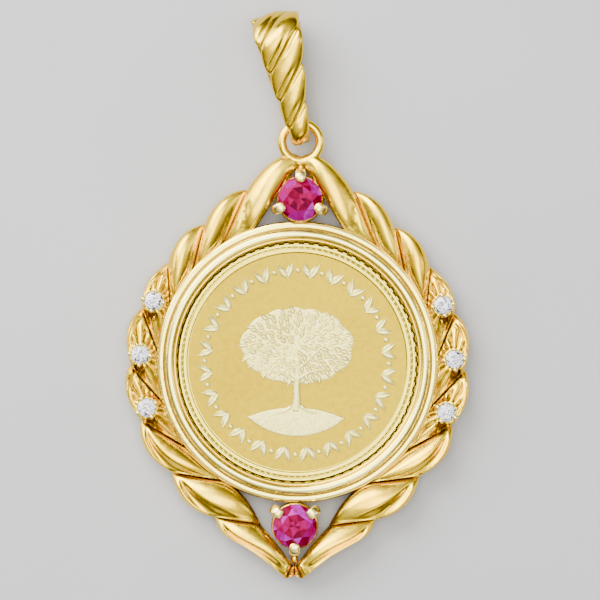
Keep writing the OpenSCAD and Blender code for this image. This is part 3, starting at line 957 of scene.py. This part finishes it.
coinSet = {
    "radius": 7.04, "bottom": 0.52, "thick": 0.95, "fieldDrop": 0.12, "place": (-0.03, -0.03),
    "reeds": 75, "reedDepth": 0.14, "strokes": 120, "strokeRadius": 6.66,
    # the rim from outside in: radius and drop below its top
    "rim": [(6.74, 0.0), (6.71, 0.03), (6.66, 0.045), (6.61, 0.03), (6.57, 0.005), (6.48, 0.0),
            (6.41, 0.015), (6.37, 0.05)],
    "borderRadius": 5.35, "borderCount": 24, "leafTurns": (62, 118)}
treeSet = {
    # the mound is what two circles share: middle and radius of each, measured from the mound's middle
    "moundY": -3.45, "moundCircles": (((0, 3.45), 4.3), ((0, -6.15), 7.0)), "moundHigh": 0.075,
    "crownY": 0.95, "crownWidth": 3.4, "crownHeight": 2.3, "crownHigh": 0.05,
    # the trunk, its roots and its boughs: x, y and width along each
    "limbs": [[(-0.05, -2.95, 0.62), (0.02, -2.2, 0.46), (0.0, -1.4, 0.42), (0.05, -0.6, 0.46),
               (0.0, 0.4, 0.4)],
              [(-0.2, -2.5, 0.3), (-0.7, -2.85, 0.22), (-1.2, -2.95, 0.12)],
              [(0.2, -2.5, 0.3), (0.75, -2.85, 0.22), (1.25, -2.92, 0.12)],
              [(0.0, -1.2, 0.3), (-0.7, -0.7, 0.24), (-1.7, -0.45, 0.14)],
              [(0.0, -1.0, 0.3), (0.8, -0.55, 0.24), (1.8, -0.35, 0.14)],
              [(0.0, -0.6, 0.26), (-0.9, 0.3, 0.2), (-1.6, 1.1, 0.12)],
              [(0.0, -0.5, 0.26), (0.9, 0.4, 0.2), (1.7, 1.15, 0.12)]]}
coinTop = coinSet["bottom"] + coinSet["thick"]
fieldTop = coinTop - coinSet["fieldDrop"]


def buildCoinBlank():
    bottom, root = coinSet["bottom"], coinSet["radius"] - coinSet["reedDepth"]
    outline = [(0.0, bottom), (root - 0.05, bottom), (root, bottom + 0.05), (root, coinTop - 0.12),
               (root - 0.02, coinTop - 0.03), (root - 0.05, coinTop)]
    outline += [(r, coinTop - drop) for r, drop in coinSet["rim"]] + [(6.35, fieldTop), (0.0, fieldTop)]
    rings = [(z, max(r, 0.001)) for r, z in outline]
    blank = solidPiece("coin_blank", *lathe(rings, (*coinSet["place"], 0), 300), coinField, sharpAt=28)
    finishPiece(blank, "coin")


def reedShape():
    # a rounded upright rib, flat against the coin's wall
    low, high = coinSet["bottom"] + 0.03, coinTop - 0.04
    half = math.pi * coinSet["radius"] / coinSet["reeds"] * 0.42
    section = [(-0.18, -half), (-0.05, -half * 0.9), (-0.012, -half * 0.55), (0.0, 0.0),
               (-0.012, half * 0.55), (-0.05, half * 0.9), (-0.18, half)]
    rows = []
    for z, inset in ((low, 0.03), (low + 0.03, 0.0), (high - 0.03, 0.0), (high, 0.02)):
        rows.append([(x - inset if x > -0.1 else x, y, z) for x, y in section])
    return loftShape(rows)


def strokeShape():
    # a faint raised stroke on the rim, half sunk in it
    long, wide, high, sunk = 0.26, 0.11, 0.022, -0.06
    rows = []
    for x, w, h in ((0.5, 0.4, 0.2), (0.35, 0.9, 0.9), (0.0, 1.0, 1.0), (-0.35, 0.9, 0.9), (-0.5, 0.4, 0.2)):
        section = [(-wide * w / 2, sunk), (-wide * w / 2, high * h * 0.5), (0, high * h),
                   (wide * w / 2, high * h * 0.5), (wide * w / 2, sunk)]
        rows.append([(x * long, y, z) for y, z in section])
    return loftShape(rows)


def leafShape(long, wide, high):
    # a low domed leaf along x with a groove down its middle and a flat hidden foot
    rows = []
    for u in (0.0, 0.08, 0.2, 0.38, 0.56, 0.74, 0.9, 1.0):
        half = max(0.02, wide / 2 * math.sin(math.pi * u ** 0.8))
        rise = high * (0.35 + 0.65 * math.sin(math.pi * u) ** 0.5)
        section = [(-half, -0.04), (-half, rise * 0.35), (-half * 0.5, rise), (0, rise * 0.62),
                   (half * 0.5, rise), (half, rise * 0.35), (half, -0.04)]
        rows.append([(long * u, y, z) for y, z in section])
    return loftShape(rows)


def buildCoinEdge():
    x, y = coinSet["place"]
    reeds = growPiece("coin_reeds", reedShape(), ringTree, {
        "Count": coinSet["reeds"], "Radius": coinSet["radius"] * mm, "Centre": metres(x, y, 0), "Seed": 4,
        "Material": coinField}, sharpAt=40)
    strokes = growPiece("coin_teeth", strokeShape(), ringTree, {
        "Count": coinSet["strokes"], "Radius": coinSet["strokeRadius"] * mm, "Turn": 0.5, "Sway": 0.35,
        "Size Spread": 0.3, "Centre": metres(x, y, coinTop - 0.035), "Seed": 5,
        "Material": coinField}, sharpAt=40)
    for piece in (reeds, strokes):
        finishPiece(piece, "coin")


def raisedPatch(name, edgeOf, middle, steps, rings, high):
    # a low frosted pad; edgeOf(angle) is the distance from its middle to its outline
    angles = roundAngles(steps)
    reach = np.array([edgeOf(a) for a in angles])
    rows = [(1.0, -0.04), (1.0, high * 0.45), (0.985, high * 0.85), (0.96, high)]
    for i in range(rings):
        inward = (i + 1) / (rings + 1)
        rows.append((1 - inward, high * (1 + 0.18 * math.sin(math.pi / 2 * inward))))
    points = [ringRow(middle, share * reach, angles, fieldTop + z) for share, z in rows]
    return solidPiece(name, np.vstack(points), tubeFaces(len(rows), steps, False), coinFrost, sharpAt=50)


def moundEdge(a):
    # how far the nearer edge of the two circles is in that direction
    dx, dy = math.cos(a), math.sin(a)
    best = 9.0
    for centre, radius in treeSet["moundCircles"]:
        b = dx * centre[0] + dy * centre[1]
        c = centre[0] ** 2 + centre[1] ** 2 - radius ** 2
        best = min(best, b + math.sqrt(max(b * b - c, 0)))
    return best


def crownEdge(a):
    # an oval with a gently lobed edge
    oval = 1 / math.hypot(math.cos(a) / treeSet["crownWidth"], math.sin(a) / treeSet["crownHeight"])
    return oval * (0.93 + 0.05 * abs(math.sin(6.5 * a + 0.4)))


def limbShape(limb):
    # a flattened tapering rod, half sunk in the field
    x0, y0 = coinSet["place"]
    rows = [(x + x0, y + y0, fieldTop + 0.01, w, 0.20) for x, y, w in limb]
    path, sides = roundedEnds(smoothPath(rows, 6), 0.1), 12
    angles = roundAngles(sides)
    points = []
    for row, d in zip(path, np.gradient(path[:, :2], axis=0)):
        side = leftOf(unit(d))
        points.append(np.column_stack([row[0] + side[0] * row[3] / 2 * np.cos(angles),
                                       row[1] + side[1] * row[3] / 2 * np.cos(angles),
                                       row[2] + row[4] / 2 * np.sin(angles)]))
    return np.vstack(points), tubeFaces(len(path), sides, False)


def buildCoinRelief():
    # a tree on a mound, and a border of paired leaves and dots
    x, y = coinSet["place"]
    s, onField = treeSet, metres(x, y, fieldTop)
    pieces = [
        raisedPatch("coin_mound", moundEdge, (x, s["moundY"] + y), 220, 6, s["moundHigh"]),
        raisedPatch("coin_crown", crownEdge, (x, s["crownY"] + y), 260, 8, s["crownHigh"]),
        solidPiece("coin_trunk", *joinShapes([limbShape(limb) for limb in s["limbs"]]), coinFrost),
        growPiece("coin_leaves", leafShape(0.52, 0.26, 0.06), canopyTree, {
            "Count": 170, "Width": (s["crownWidth"] - 0.45) * mm, "Height": (s["crownHeight"] - 0.4) * mm,
            "Centre": metres(x, s["crownY"] + y, fieldTop + 0.045), "Rise": 0.000012,
            "Sway": 0.5, "Size Spread": 0.18, "Seed": 8, "Material": coinFrost}, sharpAt=40)]
    border = leafShape(1.0, 0.42, 0.09)
    for i, turn in enumerate(coinSet["leafTurns"]):
        pieces.append(growPiece(f"coin_border_{i + 1}", border, ringTree, {
            "Count": coinSet["borderCount"], "Radius": (coinSet["borderRadius"] - 0.42) * mm,
            "Start": math.radians(7.5), "Turn": math.radians(turn - 90), "Centre": onField,
            "Sway": 0.05, "Size Spread": 0.04, "Seed": 21 + i, "Material": coinFrost}, sharpAt=40))
    pieces.append(growPiece("coin_dots", beadShape(0.15, 0.55), ringTree, {
        "Count": coinSet["borderCount"], "Radius": coinSet["borderRadius"] * mm, "Centre": onField,
        "Seed": 2, "Material": coinFrost}))
    for piece in pieces:
        finishPiece(piece, "coin")


buildCoinBlank()
buildCoinEdge()
buildCoinRelief()
print("coin struck")


# bail

bailSet = {
    "long": 6.63, "topWidth": 2.84, "lowWidth": 1.15, "gap": 2.3, "lean": 13, "tilt": 6.2, "eye": 0.5,
    "lobes": 9, "steps": 34, "sides": 48, "lowMetal": 0.86, "topMetal": 0.73, "slant": 1.15,
    "fluteDepth": 0.13, "room": 0.05}


class BailLine:
    # the middle of the bail's metal, round two circles: at the ring and at the top
    def __init__(self):
        s = bailSet
        self.lowR = s["eye"] + s["lowMetal"] / 2
        self.topR = s["gap"] / 2 + s["topMetal"] / 2
        self.topY = s["long"] - s["gap"] / 2 - s["topMetal"]
        self.flank = math.acos((self.lowR - self.topR) / self.topY)
        self.lowArc = self.lowR * (math.pi - self.flank)
        self.flankLong = self.topY * math.sin(self.flank)
        self.half = self.lowArc + self.flankLong + self.topR * self.flank

    def at(self, s):
        # y, z and facing angle at distance s from the bottom, up the front and down the back
        s = s % (2 * self.half)
        if s > self.half:
            y, z, a = self.at(2 * self.half - s)
            return y, -z, -a
        if s < self.lowArc:
            a = math.pi - s / self.lowR
            return self.lowR * math.cos(a), self.lowR * math.sin(a), a
        if s < self.lowArc + self.flankLong:
            run, f = s - self.lowArc, self.flank
            y = self.lowR * math.cos(f) + run * math.sin(f)
            return y, self.lowR * math.sin(f) - run * math.cos(f), f
        a = self.flank - (s - self.lowArc - self.flankLong) / self.topR
        return self.topY + self.topR * math.cos(a), self.topR * math.sin(a), a

    def width(self, s):
        low, top = bailSet["lowWidth"], bailSet["topWidth"]
        share = (self.at(s)[0] + self.lowR) / (self.topY + 0.4 + self.lowR)
        return low + (top - low) * min(1, share)

    def halfMetal(self, s):
        low, top = bailSet["lowMetal"], bailSet["topMetal"]
        t = float(ease(0, 1, self.at(s)[0] / self.topY))
        return (low + (top - low) * t) / 2


def buildBail():
    s, line = bailSet, BailLine()
    rows, marks = [], []
    for lobe in range(s["lobes"]):
        for i in range(s["steps"]):
            t = (1 - math.cos(math.pi * i / s["steps"])) / 2
            s0 = 2 * line.half * (lobe + t) / s["lobes"]
            low = 1 - float(bump(t, 0.85, 0.6))
            row = []
            for j in range(s["sides"]):
                # round the metal: c goes across the bail, sn out from its middle
                a = 2 * math.pi * j / s["sides"]
                c, sn = math.cos(a), math.sin(a)
                w = line.width(s0 + s["slant"] * line.width(s0) / 2 * c)
                x = w / 2 * c * (1 - 0.20 * low)
                y, z, facing = line.at(s0 + s["slant"] * x)
                h = line.halfMetal(s0)
                if sn >= 0:
                    flute = float(hill(t - 0.24, 0.07) * ease(0.75, -0.35, c) * ease(-1.0, -0.8, c))
                    second = float(hill(t - 0.84, 0.05) * ease(-0.2, 0.5, c) * ease(1.0, 0.85, c))
                    flutes = s["fluteDepth"] * (flute + 0.5 * second)
                    e = h * sn ** 0.8 * (1 - 0.55 * low) - flutes * sn
                    # mark: painted shade between the lobes and in the flutes
                    mark = max(0.65 * low ** 1.5, 0.5 * flute, 0.35 * second)
                else:
                    mark = 0.0
                    e = -h * (-sn) ** 0.6
                row.append((x, y + e * math.cos(facing), z + e * math.sin(facing)))
                marks.append(mark)
            rows.append(row)
    points = np.array(rows).reshape(-1, 3)
    # room for the ring wire's sweep about the x axis
    ringR, wire = ringSet["radius"], ringSet["wire"]
    x = np.clip(np.abs(points[:, 0]), 0, 0.9)
    need = ringR - np.sqrt(ringR ** 2 - x ** 2) + wire / np.sqrt(1 - x ** 2 / ringR ** 2) + s["room"]
    need = np.maximum(need, s["eye"])
    far = np.hypot(points[:, 1], points[:, 2])
    push = np.where(far < need, need / np.maximum(far, 1e-6), 1.0)
    points[:, 1] *= push
    points[:, 2] *= push
    lean, tilt = math.radians(s["lean"]), math.radians(s["tilt"])
    hinge = (-ringR * math.sin(lean), ringSet["y"] + ringR * math.cos(lean), ringSet["z"])
    place = Matrix.Translation(hinge) @ Matrix.Rotation(lean, 4, "Z") @ Matrix.Rotation(tilt, 4, "X")
    points = np.column_stack([points, np.ones(len(points))]) @ np.array(place).T
    faces = tubeFaces(len(rows), s["sides"], True)
    bail = solidPiece("bail_twist", points[:, :3], faces, bailGold, marks=marks)
    finishPiece(bail, "bail", "bail")


buildBail()
print("bail twisted")


# floor, lights and camera

lightSet = {
    "aim": (0.0, 3.0, 1.0),
    # place, width, height, radiance
    "lamps": {
        "key": ((-84, 109, 130), 160, 110, 12.5), "top": ((5, 15, 230), 160, 160, 6.0),
        "side": ((150, 30, 90), 50, 110, 2.6), "left": ((-158, 96, 50), 210, 80, 5.5),
        "low": ((50, -120, 90), 90, 40, 3.2)},
    # the sky by its height, from the horizon at 0.5 to straight above at 1
    "sky": [(0.50, (0.015, 0.011, 0.008)), (0.64, (0.05, 0.04, 0.032)), (0.80, (0.34, 0.33, 0.32)),
            (0.93, (0.85, 0.85, 0.85)), (1.0, (1.0, 1.0, 1.0))],
    "skyStrength": 1.4}
floorSet = {"half": 400, "tones": ((0.44, 0.437, 0.435), (0.47, 0.467, 0.465))}
# middle and width of the view at the height of plane, the lens, and the camera's turn in degrees
viewSet = {"middle": (0.0886, 3.598), "wide": 34.8, "lens": 250.0, "roll": 0.9, "plane": 1.5}


def buildFloor():
    material, tree, shader = newMaterial("paleFloor", Roughness=0.9)
    dull, bright = floorSet["tones"]
    tone = rampOf(tree, noiseAt(tree, 60, 2), [(0.3, dull), (0.7, bright)])
    tree.links.new(tone, shader.inputs["Base Color"])
    half = floorSet["half"]
    corners = [(-half, -half, 0), (half, -half, 0), (half, half, 0), (-half, half, 0)]
    floor = solidPiece("floor", corners, [(0, 1, 2, 3)], material, smooth=False)
    if floor.data.polygons[0].normal.z < 0:
        floor.data.flip_normals()


def placeLamps():
    aim = Vector(lightSet["aim"]) * mm
    for name, (place, wide, tall, radiance) in lightSet["lamps"].items():
        lamp = bpy.data.lights.new(name, "AREA")
        lamp.shape, lamp.size, lamp.size_y = "RECTANGLE", wide * mm, tall * mm
        lamp.energy = radiance * math.pi * wide * tall * mm * mm
        light = bpy.data.objects.new(name, lamp)
        light.location = Vector(place) * mm
        light.rotation_euler = (aim - light.location).to_track_quat("-Z", "Y").to_euler()
        bpy.context.scene.collection.objects.link(light)


def paintSky():
    world = bpy.data.worlds.new("studio")
    bpy.context.scene.world = world
    world.use_nodes = True
    tree = world.node_tree
    where = tree.nodes.new("ShaderNodeTexCoord")
    parts = addNode(tree, "ShaderNodeSeparateXYZ", [(0, where.outputs["Generated"])])
    height = mathNode(tree, "MULTIPLY_ADD", parts.outputs["Z"], 0.5, 0.5)
    back = tree.nodes["Background"]
    tree.links.new(rampOf(tree, height, lightSet["sky"]), back.inputs["Color"])
    back.inputs["Strength"].default_value = lightSet["skyStrength"]


def placeCamera():
    data = bpy.data.cameras.new("camera")
    data.lens, data.sensor_width = viewSet["lens"], 36.0
    data.clip_start, data.clip_end = 0.01, 5.0
    camera = bpy.data.objects.new("camera", data)
    away = viewSet["wide"] * viewSet["lens"] / data.sensor_width
    camera.location = metres(*viewSet["middle"], viewSet["plane"] + away)
    camera.rotation_euler = (0, 0, math.radians(viewSet["roll"]))
    bpy.context.scene.collection.objects.link(camera)
    bpy.context.scene.camera = camera


buildFloor()
placeLamps()
paintSky()
placeCamera()
print("stage and camera placed")
